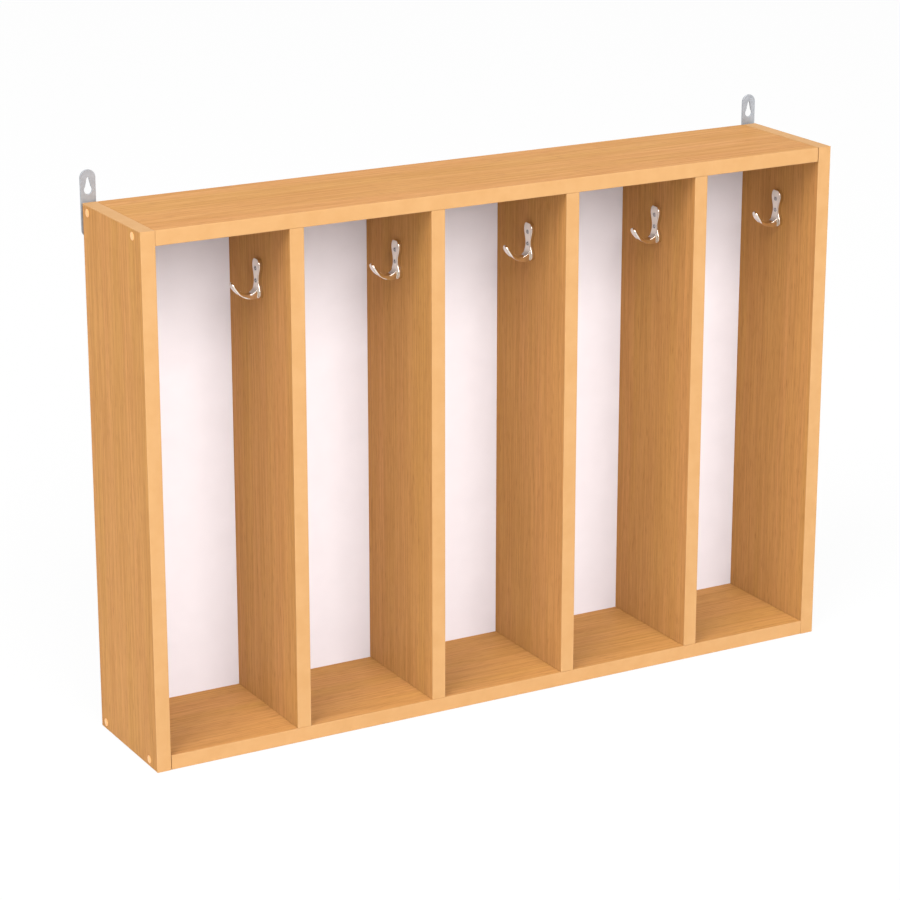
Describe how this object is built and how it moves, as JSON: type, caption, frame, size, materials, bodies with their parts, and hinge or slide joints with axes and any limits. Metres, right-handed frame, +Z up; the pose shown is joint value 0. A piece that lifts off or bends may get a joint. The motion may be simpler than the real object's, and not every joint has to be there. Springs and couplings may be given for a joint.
{
  "type": "school coat and towel rack",
  "caption": "Open wall-hung cloakroom rack of beech-look boards with upright bays, a white back, a chrome coat hook in each bay and keyhole hanger plates at the top.",
  "frame": {"origin": "middle of the footprint, on the underside", "axes": "+X along the width to the right seen from the open front, +Y from the front to the wall, +Z up"},
  "size_m": [0.836, 0.1512, 0.6105],
  "materials": {
    "beech_laminate": "beech-look melamine laminate on chipboard, satin, fine straight grain",
    "beech_edging": "plain pale beech-coloured plastic edging, satin",
    "white_hardboard": "white lacquered hardboard, brown on the rear",
    "hook_chrome": "polished chrome plating on cast zinc",
    "screw_steel": "bright zinc-plated steel",
    "hanger_zinc": "zinc-plated pressed steel, satin",
    "cap_plastic": "pale beech-coloured plastic, satin",
    "dowel_wood": "plain beech",
    "nail_steel": "bare steel wire"
  },
  "bodies": {
    "root": {"left_side_panel": "beech_laminate", "right_side_panel": "beech_laminate", "top_panel": "beech_laminate", "bottom_panel": "beech_laminate", "divider_1": "beech_laminate", "divider_2": "beech_laminate", "divider_3": "beech_laminate", "divider_4": "beech_laminate", "left_side_front_edging": "beech_edging", "left_side_top_edging": "beech_edging", "left_side_bottom_edging": "beech_edging", "right_side_front_edging": "beech_edging", "right_side_top_edging": "beech_edging", "right_side_bottom_edging": "beech_edging", "top_panel_edging": "beech_edging", "bottom_panel_edging": "beech_edging", "divider_1_edging": "beech_edging", "divider_2_edging": "beech_edging", "divider_3_edging": "beech_edging", "divider_4_edging": "beech_edging", "back_panel": "white_hardboard", "hook_1": "hook_chrome", "hook_2": "hook_chrome", "hook_3": "hook_chrome", "hook_4": "hook_chrome", "hook_5": "hook_chrome", "hook_screws": "screw_steel", "left_hanger_plate": "hanger_zinc", "right_hanger_plate": "hanger_zinc", "hanger_screws": "screw_steel", "furniture_screws": "screw_steel", "screw_caps": "cap_plastic", "divider_dowels": "dowel_wood", "back_panel_nails": "nail_steel"}
  },
  "joints": []
}
